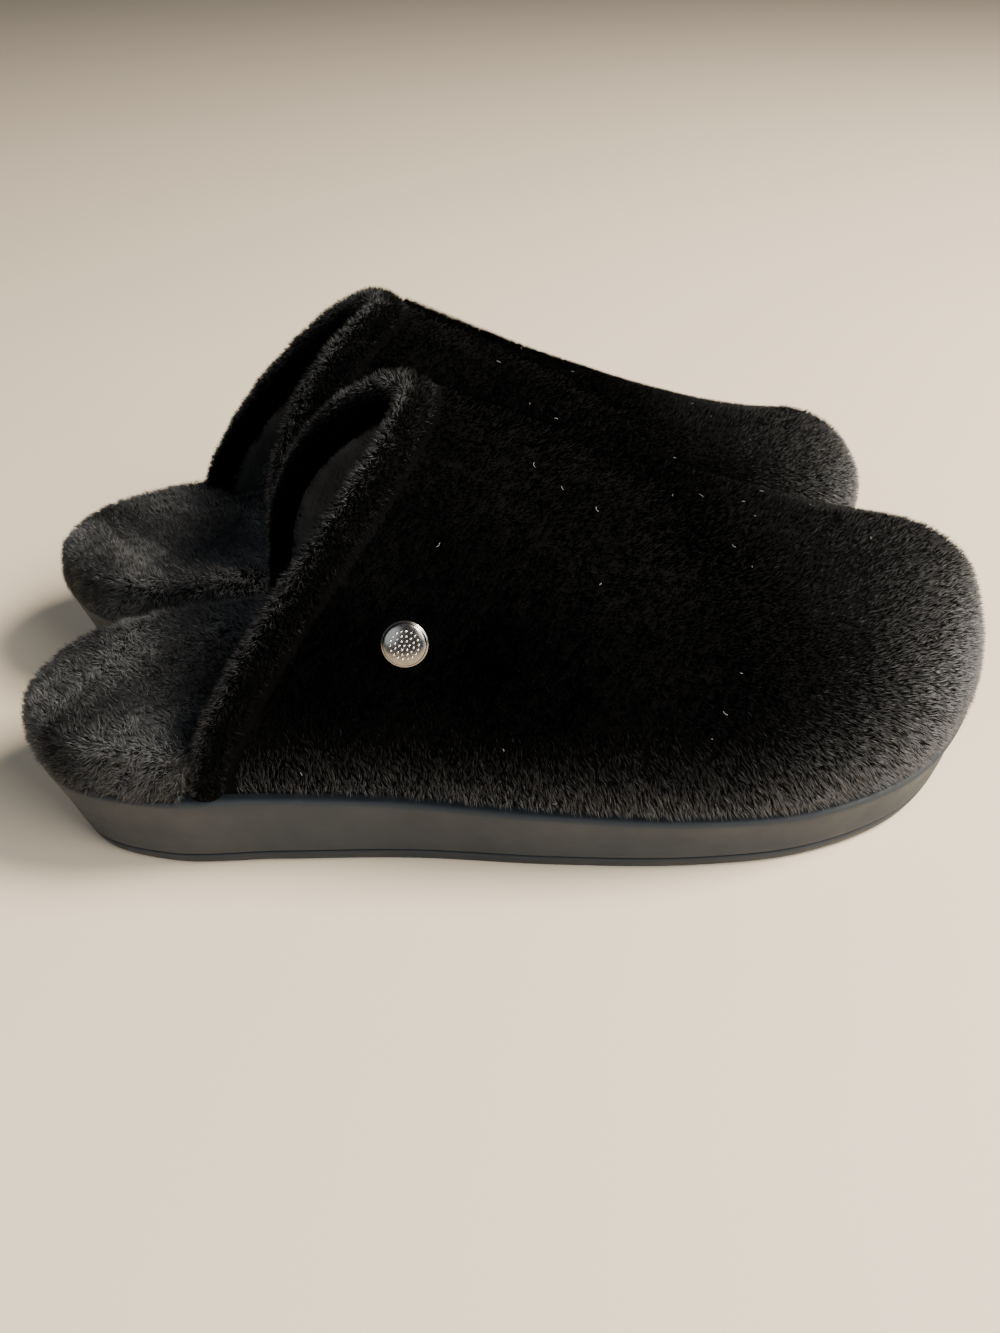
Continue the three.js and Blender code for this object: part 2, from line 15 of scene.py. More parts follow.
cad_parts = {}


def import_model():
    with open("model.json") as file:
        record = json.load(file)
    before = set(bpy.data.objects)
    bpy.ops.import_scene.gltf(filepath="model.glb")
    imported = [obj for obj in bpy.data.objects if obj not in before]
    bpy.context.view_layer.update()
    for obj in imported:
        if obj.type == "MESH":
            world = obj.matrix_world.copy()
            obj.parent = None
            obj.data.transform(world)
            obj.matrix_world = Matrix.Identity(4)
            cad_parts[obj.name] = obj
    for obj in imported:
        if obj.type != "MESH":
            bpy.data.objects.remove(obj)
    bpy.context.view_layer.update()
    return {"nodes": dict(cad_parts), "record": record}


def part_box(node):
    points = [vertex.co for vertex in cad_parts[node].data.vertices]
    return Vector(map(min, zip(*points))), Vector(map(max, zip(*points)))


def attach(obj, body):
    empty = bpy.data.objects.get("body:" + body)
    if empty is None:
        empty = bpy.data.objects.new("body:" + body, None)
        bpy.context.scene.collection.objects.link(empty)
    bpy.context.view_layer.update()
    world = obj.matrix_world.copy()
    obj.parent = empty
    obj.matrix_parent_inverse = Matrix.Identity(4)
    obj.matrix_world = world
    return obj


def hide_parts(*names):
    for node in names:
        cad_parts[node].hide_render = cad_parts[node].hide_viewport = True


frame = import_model()

# ---- driving dimensions, in millimetres, as in the CAD part ----
GAP = 0.3
SOLE_LENGTH = 268.0
SLIPPER_SPACING = 79.0
TOE_OUT = math.radians(2)
OUTSOLE_THICK = 4.0
TREAD_DEPTH = 1.6
TREAD_WIDTH = 3.2
TREAD_GROOVES = (30, 46, 62, 142, 158, 174, 190, 206)
TREAD_BEND = 6.0
TREAD_REACH = 62.0
SOCK_THICK = 3.5
PLUSH_THICK = 3.0
PADDING_THICK = 2.0
LINING_THICK = 3.0
UPPER_INSET = 1.0
UPPER_BULGE = 5.0
TOPLINE = (0.244, 0.31)  # each pair is lateral, medial
LEAN = (1.35, 2.8)
FULLNESS = (0.9, 0.72)
SHOULDER = (33.5, 57.0)
TOE_FULLNESS = 1.0
CREST = (115.0, 12.0, 111.0)
RIDGE_SWAY = 7.0
RIDGE_END = (234.0, 10.0, 65.0)
TOE_HEART = np.array([218.0, 3.0, 8.0])  # a point deep inside the toe box
CUFF_WIDTH = 9.5
CUFF_THICK = 10.5
CUFF_GAP = 0.9
STUD_W = 0.106
STUD_A = -0.657
STUD_RADIUS = 5.6
STUD_SEAT = 0.6
HEEL_CENTRE = 34.0
TOE_CENTRE = 42.0
FOAM_LOW = 4.1
LINING_DEPTH = PLUSH_THICK + PADDING_THICK + 2 * GAP
UPPER_THICK = LINING_DEPTH + LINING_THICK

LATERAL = -1.0
MEDIAL = 1.0
OUTLINE = np.array(
    [
        [0, 0], [10, -21], [32, -32], [62, -35.5], [96, -40], [132, -48.5], [168, -55], [200, -56],
        [230, -48], [251, -31.5], [264, -12], [268, 6], [265, 21], [253, 33.5], [231, 40],
        [200, 41.5], [168, 38.5], [132, 34.5], [96, 34.5], [62, 36.5], [32, 35], [10, 23.5],
    ],
    float,
)  # fmt: skip


# ---- small maths ----


def smoothstep(x, low, high):
    t = np.clip((np.asarray(x, float) - low) / (high - low), 0, 1)
    return t * t * (3 - 2 * t)


def mix(a, b, t):
    return a + (b - a) * t


def unit(v):
    return v / np.maximum(np.linalg.norm(v, axis=-1, keepdims=True), 1e-12)


def profile(knots):
    """A smooth height profile through [x, z] knots."""
    xs, zs = np.array(knots, float).T
    last = len(xs) - 1
    before = np.maximum(np.arange(last + 1) - 1, 0)
    after = np.minimum(np.arange(last + 1) + 1, last)
    slope = (zs[after] - zs[before]) / (xs[after] - xs[before])

    def height(x):
        x = np.asarray(x, float)
        i = np.clip(np.searchsorted(xs, x, side="right") - 1, 0, last - 1)
        width = xs[i + 1] - xs[i]
        t = np.clip((x - xs[i]) / width, 0, 1)
        rise = (zs[i + 1] - zs[i]) * t * t * (3 - 2 * t)
        return zs[i] + rise + width * t * (1 - t) * (slope[i] * (1 - t) - slope[i + 1] * t)

    return height


sole_top = profile([[0, 28], [60, 26], [120, 21.5], [180, 18.5], [225, 19.5], [268, 24]])
ground = profile(
    [[0, 3], [14, 0.6], [26, 0], [60, 0], [196, 0], [226, 1.2], [250, 4.4], [268, 9]]
)
footbed_thick = profile([[0, 7.5], [40, 7.5], [100, 9], [160, 7], [210, 5], [268, 4]])
ridge_height = profile(
    [[CREST[0], CREST[2]], [140, 98.5], [168, 83.5], [200, 67], [RIDGE_END[0], RIDGE_END[2]]]
)


def wobble(p, scale, seed, octaves=3):
    """Smooth noise of about -1 to 1 at the points p, from sums of sine waves in seeded directions."""
    rng = np.random.default_rng(seed)
    total = np.zeros(p.shape[:-1])
    for k in range(octaves):
        for _ in range(4):
            way = unit(rng.normal(size=3)) * 2 * math.pi / scale * 1.7**k
            total += np.sin(p @ way + rng.uniform(0, 2 * math.pi)) / 1.7**k
    return total / 3.2


# ---- the slipper's shared shapes ----


def outline(t):
    """The closed curve of the sole's edge, through OUTLINE's points."""
    count = len(OUTLINE)
    p = np.mod(t, 1.0) * count
    i = np.floor(p).astype(int)
    w = (p - i)[..., None]
    p0, p1, p2, p3 = (OUTLINE[(i + k) % count] for k in (-1, 0, 1, 2))
    d0, d1, d2 = (
        (((b - a) ** 2).sum(-1) ** 0.25)[..., None] for a, b in ((p0, p1), (p1, p2), (p2, p3))
    )
    t1 = ((p1 - p0) / d0 - (p2 - p0) / (d0 + d1) + (p2 - p1) / d1) * d1
    t2 = ((p2 - p1) / d1 - (p3 - p1) / (d1 + d2) + (p3 - p2) / d2) * d1
    return p1 + t1 * w + (-3 * p1 + 3 * p2 - 2 * t1 - t2) * w**2 + (2 * p1 - 2 * p2 + t1 + t2) * w**3


def edge(u, side, inset=0.0):
    """A point of the sole's outline moved in by inset, and the way in. u is 0 at the heel tip."""
    u, side = np.broadcast_arrays(np.asarray(u, float), np.asarray(side, float))
    t = np.where(side < 0, u / 2, 1 - u / 2)
    step = 1e-3
    along = unit(outline(t + step) - outline(t - step))
    inward = np.stack([-along[..., 1], along[..., 0]], -1)
    return outline(t) + inward * np.asarray(inset, float)[..., None], inward


def spine(u):
    """The line down the middle that the sole's cross-sections fan out from."""
    middle = (edge(u, LATERAL)[0] + edge(u, MEDIAL)[0]) / 2
    middle[..., 0] = mix(HEEL_CENTRE, SOLE_LENGTH - TOE_CENTRE, middle[..., 0] / SOLE_LENGTH)
    return middle


def raised(flat, z):
    z = np.broadcast_to(z, flat.shape[:-1])
    return np.concatenate([flat, z[..., None]], -1)


def sole_point(u, side, inset):
    """A point over the ray from the edge to the spine, inset from the edge, over the sole's top."""
    rim, inward = edge(u, side)
    middle = spine(u)
    ray = middle - rim
    inset = np.broadcast_to(np.asarray(inset, float), rim.shape[:-1])
    share = inset / np.maximum((ray * inward).sum(-1), np.maximum(inset, 1e-9))
    z = mix(sole_top(rim[..., 0]), sole_top(middle[..., 0]), share)
    return raised(rim + ray * share[..., None], z)


def wall_point(u, side, height, inset=0.0):
    """A point on the sole's wall at a height over the ground under it, moved in by inset."""
    heel = 1 - smoothstep(u, 0.05, 0.4)
    toe = smoothstep(u, 0.8, 1)
    lean = 3.5 + 3.5 * heel + 4 * toe
    rim = edge(u, side)[0]
    tall = sole_top(rim[..., 0]) - ground(rim[..., 0])
    level = np.clip(height / tall, 0, 1)
    flat = edge(u, side, lean * (1 - level) ** 1.25 + inset)[0]
    return raised(flat, mix(ground(flat[..., 0]), sole_top(flat[..., 0]), level))


def footbed_rise(x, y):
    """Height of the foam footbed's surface over the board, with a heel cup and an arch rise."""
    cup = np.exp(-(((x - 40) / 34) ** 2) - (y / 22) ** 2)
    arch = np.exp(-(((x - 105) / 34) ** 2) - ((y - 30) / 16) ** 2)
    return footbed_thick(x) - 3.2 * cup + 5 * arch


def by_side(pair, side):
    return np.where(side < 0, pair[0], pair[1])


def upper_point(w, a):
    """The outside of the upper: w is 0 at the foot opening and 1 at the toe tip, and a is -1 at the
    lateral edge, 0 on the ridge and 1 at the medial edge."""
    w, a = np.broadcast_arrays(np.asarray(w, float), np.asarray(a, float))
    past = w > 1
    w, a = np.where(past, 2 - w, w), np.where(past, -a, a)
    side = np.where(a < 0, LATERAL, MEDIAL)
    topline = by_side(TOPLINE, side)
    u = mix(topline, 1, w)
    base = sole_point(u, side, UPPER_INSET)
    base[..., 2] += GAP
    inward = edge(u, side)[1]
    x = mix(CREST[0], RIDGE_END[0], w)
    y = mix(CREST[1], RIDGE_END[1], w) + RIDGE_SWAY * 4 * w * (1 - w)
    ridge = np.stack([x, y, ridge_height(x)], -1)
    angle = (1 - np.abs(a)) * math.pi / 2
    sin, cos = np.sin(angle), np.clip(np.cos(angle), 0, 1)
    full = mix(by_side(FULLNESS, side), TOE_FULLNESS, w)
    across = 1 - cos**full
    along = mix(np.abs(sin) ** by_side(LEAN, side), across, w**3)
    swell = mix(0.3, 1, smoothstep(w, 0, 0.25)) * UPPER_BULGE * sin * cos**3 * 3
    share = np.stack([along, across, np.sign(sin) * np.abs(sin) ** full], -1)
    point = mix(base, ridge, share)
    point[..., :2] -= inward * swell[..., None]
    return point


def upper_normal(w, a):
    step = 1e-3
    along_w = upper_point(w + step, a) - upper_point(w - step, a)
    along_a = upper_point(w, a + step) - upper_point(w, a - step)
    normal = unit(np.cross(along_w, along_a))
    outward = unit(upper_point(w, a) - TOE_HEART)
    # Where the ridge ends the surface folds a little, so the way out is taken from the toe's heart.
    w, a = np.broadcast_arrays(np.asarray(w, float), np.asarray(a, float))
    doubt = smoothstep(w, 0.84, 0.93) * (1 - smoothstep(np.abs(a), 0.2, 0.45))
    return unit(mix(normal, outward, doubt[..., None]))


def upper_offset(w, a, depth):
    return upper_point(w, a) - upper_normal(w, a) * np.asarray(depth, float)[..., None]


def foot_share(w, side, height):
    """The place round the section where the upper is height above the sole."""
    base = upper_point(w, side)
    x = mix(CREST[0], RIDGE_END[0], w)
    full = mix(by_side(FULLNESS, side), TOE_FULLNESS, w)
    rise = (height / (ridge_height(x) - base[..., 2])) ** (1 / full)
    return 1 - np.arcsin(rise) * 2 / math.pi


def cuff_frame(a):
    """The cuff's centre line, the way out of the upper and the way back, at a round the opening."""
    a = np.asarray(a, float)
    step = 1e-3
    zero = np.zeros_like(a)
    normal = upper_normal(zero, a)
    ahead = upper_point(zero, np.minimum(a + step, 1))
    behind = upper_point(zero, np.maximum(a - step, -1))
    back = unit(np.cross(unit(ahead - behind), normal))
    back = back * np.where(back[..., :1] > 0, -1, 1)
    centre = upper_point(zero, a) + normal * (0.4 - UPPER_THICK / 2)
    return centre + back * (CUFF_WIDTH / 2 + CUFF_GAP), normal, back


# ---- placing a slipper in the row frame ----

heel_ring = wall_point(np.linspace(0, 0.2, 40), LATERAL, 26.0)
heel_reach = (heel_ring[:, 0] * math.cos(TOE_OUT) + heel_ring[:, 1] * math.sin(TOE_OUT)).min()
ORIGIN_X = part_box("right_midsole")[0].x * 1000 - heel_reach


def to_row(points, side):
    """From a slipper's own frame in millimetres to the row frame in metres."""
    x, y, z = np.moveaxis(np.asarray(points, float), -1, 0)
    row_x = x * math.cos(TOE_OUT) + y * math.sin(TOE_OUT) + ORIGIN_X
    row_y = -x * math.sin(TOE_OUT) + y * math.cos(TOE_OUT) - SLIPPER_SPACING / 2
    return np.stack([row_x, row_y if side == "right" else -row_y, z], -1) / 1000


# ---- meshes ----


PIECES = []  # what build_ functions make of the right slipper, for both slippers


def record(name, points, faces, materials, slot, replaced=(), fill=None, shades=None, only=None):
    """Keeps a piece for place_piece. shades is the material of each face."""
    PIECES.append((name, points, faces, materials, slot, replaced, fill, shades, only))


def place_piece(side, name, points, faces, materials, slot, replaced, fill, shades, only):
    if only not in (None, side):
        return
    obj = make_object(f"{side}_{name}", side, points, faces, materials, shades)
    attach(obj, f"{side}_slipper")
    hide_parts(*[f"{side}_{n}" for n in replaced])


def make_object(name, side, points, faces, materials, shades):
    """A mesh of one slipper, of triangles or quads."""
    mesh = bpy.data.meshes.new(name)
    co = to_row(points, side).astype(np.float32)
    if side == "left":
        faces = faces[:, ::-1]
    corners = faces.shape[1]
    mesh.vertices.add(len(co))
    mesh.vertices.foreach_set("co", co.ravel())
    mesh.loops.add(faces.size)
    mesh.loops.foreach_set("vertex_index", np.ascontiguousarray(faces, np.int32).ravel())
    mesh.polygons.add(len(faces))
    mesh.polygons.foreach_set("loop_start", np.arange(0, faces.size, corners, dtype=np.int32))
    mesh.polygons.foreach_set("use_smooth", np.ones(len(faces), bool))
    for material in materials:
        mesh.materials.append(material)
    if shades is not None:
        mesh.polygons.foreach_set("material_index", shades.astype(np.int32))
    mesh.update(calc_edges=True)
    mesh.validate()
    obj = bpy.data.objects.new(name, mesh)
    bpy.context.scene.collection.objects.link(obj)
    return obj


def welded(points, faces, tolerance=1e-3):
    """Joins points that coincide and drops the faces that collapse. The result is all triangles."""
    span = 1 << 21
    cells = np.round(points / tolerance).astype(np.int64) + span // 2
    keys = (cells[:, 0] * span + cells[:, 1]) * span + cells[:, 2]
    _, first, where = np.unique(keys, return_index=True, return_inverse=True)
    faces = where[faces]
    if faces.shape[1] == 4:
        faces = np.concatenate([faces[:, [0, 1, 2]], faces[:, [0, 2, 3]]])
    a, b, c = faces.T
    faces = faces[(a != b) & (b != c) & (c != a)]
    points = points[first]
    a, b, c = (points[faces[:, k]] for k in range(3))
    volume = np.einsum("ij,ij->i", a, np.cross(b, c))
    if volume.sum() < 0:
        faces = faces[:, ::-1]
    return points, faces


def grid_faces(rows, columns, loop=False):
    """Quads between the points of a grid. With loop, each row closes on itself."""
    i = np.arange(rows - 1)[:, None]
    j = np.arange(columns if loop else columns - 1)[None, :]
    k = (j + 1) % columns
    here = i * columns + j
    right = i * columns + k
    return np.stack([here, here + columns, right + columns, right], -1).reshape(-1, 4)


def loft(rings, cap=False):
    """A closed surface through rings, each of which closes on itself. With cap, the two end rings
    are filled across: each ring goes out along one side of its section and back along the other."""
    rows, columns = rings.shape[:2]
    faces = [grid_faces(rows, columns, loop=True)]
    if cap:
        j = np.arange(columns // 2 - 1)
        first = np.stack([j, j + 1, columns - 2 - j, columns - 1 - j], -1)
        faces += [first, first[:, ::-1] + (rows - 1) * columns]
    return welded(rings.reshape(-1, 3), np.concatenate(faces))


def round_the_sole(steps):
    """(u, side) of points round the sole's outline, closer together at the heel and the toe."""
    u = (1 - np.cos(np.linspace(0, math.pi, steps))) / 2
    u = mix(u, np.linspace(0, 1, steps), 0.5)
    side = np.concatenate([np.full(steps, LATERAL), np.full(steps - 2, MEDIAL)])
    return np.concatenate([u, u[-2:0:-1]]), side


def spine_rows(u, side, rim, count, height):
    """Rows of points from the spine out to the rim's points, rim left out. height gives z."""
    middle = spine(u)
    rows = []
    for share in np.linspace(0, 1, count, endpoint=False):
        flat = mix(middle, rim[..., :2], share)
        rows.append(raised(flat, height(flat, share)))
    return rows


# ---- materials ----


def material(name, base, roughness, metallic=0.0, specular=0.5, sheen=0.0):
    mat = bpy.data.materials.new(name)
    mat.use_nodes = True
    shader = mat.node_tree.nodes["Principled BSDF"]
    shader.inputs["Base Color"].default_value = (*base, 1)
    shader.inputs["Roughness"].default_value = roughness
    shader.inputs["Metallic"].default_value = metallic
    shader.inputs["Specular IOR Level"].default_value = specular
    shader.inputs["Sheen Weight"].default_value = sheen
    shader.inputs["Sheen Roughness"].default_value = 0.4
    return mat, mat.node_tree, shader


def node(tree, kind, **values):
    made = tree.nodes.new(kind)
    for key, value in values.items():
        if key in made.inputs:
            made.inputs[key].default_value = value
        else:
            setattr(made, key, value)
    return made


def noise(tree, scale, detail=4.0, rough=0.6):
    where = node(tree, "ShaderNodeTexCoord")
    made = node(tree, "ShaderNodeTexNoise", Scale=scale, Detail=detail, Roughness=rough)
    tree.links.new(where.outputs["Object"], made.inputs["Vector"])
    return made.outputs["Fac"]


def ramp(tree, value, *stops):
    made = node(tree, "ShaderNodeValToRGB")
    elements = made.color_ramp.elements
    while len(elements) < len(stops):
        elements.new(0.5)
    for element, (at, colour) in zip(elements, stops):
        element.position = at
        element.color = (*colour, 1) if len(colour) == 3 else colour
    tree.links.new(value, made.inputs["Fac"])
    return made.outputs["Color"]


def bump(tree, shader, value, strength, distance):
    made = node(tree, "ShaderNodeBump", Strength=strength, Distance=distance)
    tree.links.new(value, made.inputs["Height"])
    before = shader.inputs["Normal"]
    if before.is_linked:
        tree.links.new(before.links[0].from_socket, made.inputs["Normal"])
    tree.links.new(made.outputs["Normal"], before)


def grey(level, warmth=0.0):
    return (level * (1 + warmth), level, level * (1 - warmth))


def foam_material(name, dark, light):
    """Moulded EVA foam: matte, with a very fine pebbled skin, soft mottling and faint scuffs."""
    mat, tree, shader = material(name, grey(dark), 0.62, specular=0.3)
    colour = ramp(tree, noise(tree, 24, 5), (0.3, grey(dark, -0.2)), (0.72, grey(light, -0.2)))
    tree.links.new(colour, shader.inputs["Base Color"])
    rough = ramp(tree, noise(tree, 60, 4), (0.3, grey(0.5)), (0.7, grey(0.72)))
    tree.links.new(rough, shader.inputs["Roughness"])
    bump(tree, shader, noise(tree, 2600, 2), 0.25, 0.0002)
    bump(tree, shader, noise(tree, 220, 3), 0.12, 0.0004)
    return mat


def plush_material(name, dark, light, sheen):
    """The backing and roots of the pile: tufted, nearly black, with brushed patches."""
    mat, tree, shader = material(name, grey(dark), 0.95, specular=0.02, sheen=sheen)
    shader.inputs["Sheen Tint"].default_value = (0.9, 0.95, 1, 1)
    patches = ramp(tree, noise(tree, 34, 5, 0.7), (0.38, grey(dark)), (0.7, grey(light)))
    tree.links.new(patches, shader.inputs["Base Color"])
    bump(tree, shader, noise(tree, 900, 3, 0.7), 0.9, 0.0012)
    bump(tree, shader, noise(tree, 120, 3), 0.4, 0.002)
    return mat


def fibre_material(name, level, specular, warmth=0.0):
    """One shade of pile fibre. The pile's variation comes from five of these, spread at random round a
    level given for each place. The lighter shades also serve as painted light: they make the lit ends,
    cuff edges and lining.
    """
    mat, _, _ = material(name, grey(level, warmth), 0.55, specular=specular)
    return mat


def metal_material(name, base, roughness):
    """Satin metal with fine turning marks and slight tarnish."""
    mat, tree, shader = material(name, base, roughness, metallic=1)
    colour = ramp(
        tree,
        noise(tree, 700, 4),
        (0.25, tuple(c * 0.72 for c in base)),
        (0.7, base),
    )
    tree.links.new(colour, shader.inputs["Base Color"])
    rough = ramp(tree, noise(tree, 1500, 3), (0.3, grey(roughness * 0.7)), (0.75, grey(roughness * 1.5)))
    tree.links.new(rough, shader.inputs["Roughness"])
    bump(tree, shader, noise(tree, 5000, 2), 0.15, 0.0001)
    return mat


def plain_soft(name, base, scale, depth):
    """Wadding, board, stiffener and thread, which the plush hides."""
    mat, tree, shader = material(name, base, 0.9, specular=0.2)
    colour = ramp(tree, noise(tree, scale, 5), (0.3, tuple(c * 0.75 for c in base)), (0.7, base))
    tree.links.new(colour, shader.inputs["Base Color"])
    bump(tree, shader, noise(tree, scale * 6, 3), 0.5, depth)
    return mat


SOLE_FOAM = foam_material("sole_foam_skin", 0.028, 0.036)
OUTSOLE = foam_material("outsole_rubber_skin", 0.024, 0.032)
PLUSH = plush_material("plush_backing", 0.0015, 0.004, 0.01)
FOOTBED_PLUSH = plush_material("footbed_backing", 0.006, 0.014, 0.12)
# Painted light: the lining is made far lighter than the upper's plush to stand in for the light seen
# inside the opening, where the lamps barely reach.
LINING_PLUSH = plush_material("lining_backing", 0.03, 0.07, 0.1)
PILE = [
    fibre_material("pile_black", 0.0008, 0.0, -0.02),
    fibre_material("pile_dark", 0.006, 0.02, -0.03),
    fibre_material("pile_grey", 0.022, 0.1, -0.03),
    fibre_material("pile_light", 0.055, 0.25, -0.03),
    fibre_material("pile_tip", 0.14, 0.4, -0.02),
]
LINT = fibre_material("lint_fibre", 0.3, 0.3, 0.03)
THREAD = plain_soft("seam_thread", grey(0.004), 900, 0.0003)
STUD_METAL = metal_material("stud_satin", (0.3, 0.285, 0.27), 0.2)
BEAD_METAL = metal_material("stud_bead", (0.85, 0.84, 0.82), 0.14)
HIDDEN = {
    "wadding": plain_soft("wadding_foam", (0.6, 0.58, 0.52), 200, 0.0006),
    "fibre_board": plain_soft("fibre_board_skin", (0.42, 0.31, 0.2), 300, 0.0003),
    "stiffener": plain_soft("stiffener_resin", (0.68, 0.64, 0.54), 150, 0.0003),
    "stud_metal": STUD_METAL,
    "outsole_rubber": OUTSOLE,
    "sole_foam": SOLE_FOAM,
    "plush": PLUSH,
    "thread": THREAD,
}
for part in frame["record"]["subparts"]:
    cad = frame["nodes"][part["node"]]
    cad.data.materials.clear()
    cad.data.materials.append(HIDDEN[part["material_slot"]])


# ---- pile ----


def scatter(rng, count, surface, grid, weight=None):
    """Random points spread evenly over a surface. surface(p, q) gives points, grid is the p and q
    lines that its area is measured on, and weight(p, q) is how much of the pile grows there."""
    ps, qs = np.meshgrid(*grid, indexing="ij")
    corners = surface(ps, qs)
    across = corners[1:, 1:] - corners[:-1, :-1]
    other = corners[1:, :-1] - corners[:-1, 1:]
    area = np.linalg.norm(np.cross(across, other), axis=-1) / 2
    if weight is not None:
        middle_p = (ps[1:, 1:] + ps[:-1, :-1]) / 2
        middle_q = (qs[1:, 1:] + qs[:-1, :-1]) / 2
        area = area * weight(middle_p, middle_q)
    total = np.cumsum(area.ravel())
    chosen = np.searchsorted(total, rng.uniform(0, total[-1], count))
    i, j = np.unravel_index(np.minimum(chosen, area.size - 1), area.shape)
    p = mix(grid[0][i], grid[0][i + 1], rng.uniform(size=count))
    q = mix(grid[1][j], grid[1][j + 1], rng.uniform(size=count))
    return p, q


def tuft_lean(points, cell, seed):
    """One random lean for all the fibres of a tuft, which fills a cell of about that size."""
    shift = np.stack([wobble(points, cell * 6, seed + k, 1) for k in range(3)], -1) * cell * 0.6
    key = np.floor((points + shift) / cell).astype(np.int64)
    mixed = key @ np.array([73856093, 19349663, 83492791]) + seed * 7919
    angle = np.stack([np.sin(mixed * f % 6283.1853) for f in (12.9898, 78.233, 37.719)], -1)
    return angle


TUFT_LEAN = 0.5  # how far whole tufts lean together
STRAY = 0.22  # how far single fibres stray from their tuft
LEAST_OUT = 0.35  # the least that a fibre's way points out of the cloth
ROOT_DEPTH = 0.35  # how far a fibre starts inside the backing
DROOP = 0.18  # how far a fibre's tip hangs along the nap, as a share of its length
SHADE_SPREAD = 0.3  # how far the fibres' shades vary round those of their place
SHADE_SHIFT = -0.15


def pile(name, roots, normals, nap, length, width, light, seed, tilt=0.7, cell=2.2, rough=1.0):
    """Fibres as closed slim spikes, one triangle thick. nap is the way that they lie, tilt how far
    they lie over, light the share, from 0 to 1, of the lighter shades there, and rough how
    uneven the pile is."""
    rng = np.random.default_rng(seed)
    count = len(roots)
    lean = tuft_lean(roots, cell, seed) * TUFT_LEAN * rough
    brushed = wobble(roots, 26, seed + 50)[:, None]
    way = unit(
        normals + nap * tilt * (0.8 + 0.5 * rough * brushed) + lean
        + rng.normal(size=(count, 3)) * STRAY * rough
    )
    out = (way * normals).sum(-1, keepdims=True)
    way = unit(np.where(out < LEAST_OUT, way + normals * (LEAST_OUT - out), way))
    size = length * rng.uniform(0.7, 1.12, count)
    helper = unit(np.cross(way, rng.normal(size=(count, 3))))
    other = np.cross(way, helper)
    half = width * rng.uniform(0.75, 1.25, count) / 2
    buried = roots - way * ROOT_DEPTH
    turns = np.arange(3) * 2 * math.pi / 3
    base = [
        buried + (helper * math.cos(t) + other * math.sin(t)) * half[:, None] for t in turns
    ]
    droop = nap * (size * DROOP)[:, None]
    points = np.stack([*base, roots + way * size[:, None] + droop], 1).reshape(-1, 3)
    spike = np.array([[0, 1, 3], [1, 2, 3], [2, 0, 3], [0, 2, 1]])
    faces = (np.arange(count)[:, None, None] * 4 + spike).reshape(-1, 3)
    lightest = len(PILE) - 1
    level = light * lightest + SHADE_SHIFT + rng.normal(size=count) * SHADE_SPREAD
    level = np.clip(level, 0, lightest)
    shades = np.repeat(np.floor(level + rng.uniform(size=count)).clip(0, lightest), len(spike))
    record(name, points, faces, PILE, "plush", shades=shades)


FOOTBED_FIBRES = 47000
UPPER_FIBRES = 47000  # of each half of the upper
LINING_FIBRES = 20000
CUFF_FIBRES = 45000


def many(count):
    return count


# ---- one slipper's pieces ----


def build_midsole():
    """The foam platform: a rounded top edge, a soft waist in the wall and a lip over the outsole."""
    u, way = round_the_sole(230)
    radius = 1.6  # of the top edge
    rim = sole_point(u, way, radius)
    middle_high = sole_top(spine(u)[:, 0])
    rows = spine_rows(u, way, rim, 10, lambda flat, share: mix(middle_high, rim[:, 2], share))
    tall = sole_top(edge(u, way)[0][:, 0]) - ground(edge(u, way)[0][:, 0])
    for turn in np.linspace(0, math.pi / 2, 7):
        down = radius * (1 - math.cos(turn))
        rows.append(wall_point(u, way, tall - down, radius * (1 - math.sin(turn))))
    for level in np.linspace(0, 1, 10)[1:]:
        height = mix(tall - radius, OUTSOLE_THICK + 1.0, level)
        waist = 0.5 * math.sin(level * math.pi)
        rows.append(wall_point(u, way, height, waist))
    for up, inset in ((0.65, 0.12), (0.42, 0.4), (GAP, 0.9), (GAP, 3.0)):
        rows.append(wall_point(u, way, OUTSOLE_THICK + up, inset))
    last = rows[-1]
    under = spine_rows(u, way, last, 4, lambda flat, share: ground(flat[:, 0]) + OUTSOLE_THICK + GAP)
    rows += under[::-1]
    points, faces = loft(np.stack(rows))
    record("midsole_platform", points, faces, [SOLE_FOAM], "sole_foam", ["midsole"])


def tread_depth(flat):
    """How deep the tread grooves are at points of the underside."""
    depth = np.zeros(len(flat))
    for start in TREAD_GROOVES:
        middle = start + TREAD_BEND * (1 - np.abs(flat[:, 1]) / TREAD_REACH)
        off = np.abs(flat[:, 0] - middle)
        depth = np.maximum(depth, 1 - smoothstep(off, TREAD_WIDTH / 2 - 0.35, TREAD_WIDTH / 2 + 0.35))
    return depth * TREAD_DEPTH


def build_outsole():
    """The wearing layer: rounded edges and chevron grooves across the tread."""
    u, way = round_the_sole(420)
    rim = wall_point(u, way, OUTSOLE_THICK, 0.8)
    rows = spine_rows(u, way, rim, 4, lambda flat, share: ground(flat[:, 0]) + OUTSOLE_THICK)
    for up, inset in ((4.0, 0.5), (3.9, 0.12), (3.6, -0.05), (2.8, -0.1), (2.0, -0.1), (1.4, 0)):
        rows.append(wall_point(u, way, up, inset))
    radius = 1.3  # of the bottom edge
    for turn in np.linspace(0.25, 1, 6) * math.pi / 2:
        rows.append(wall_point(u, way, radius * (1 - math.sin(turn)), radius * (1 - math.cos(turn))))
    foot = rows[-1]

    def bottom(flat, share):
        return ground(flat[:, 0]) + tread_depth(flat) * smoothstep(1 - share, 0, 0.04)

    rows += spine_rows(u, way, foot, 44, bottom)[::-1]
    points, faces = loft(np.stack(rows))
    record("outsole_tread", points, faces, [OUTSOLE], "outsole_rubber", ["outsole"])


SKIRT_PAST = 12.0  # the footbed's skirt runs this far on, until the cuff hides its end


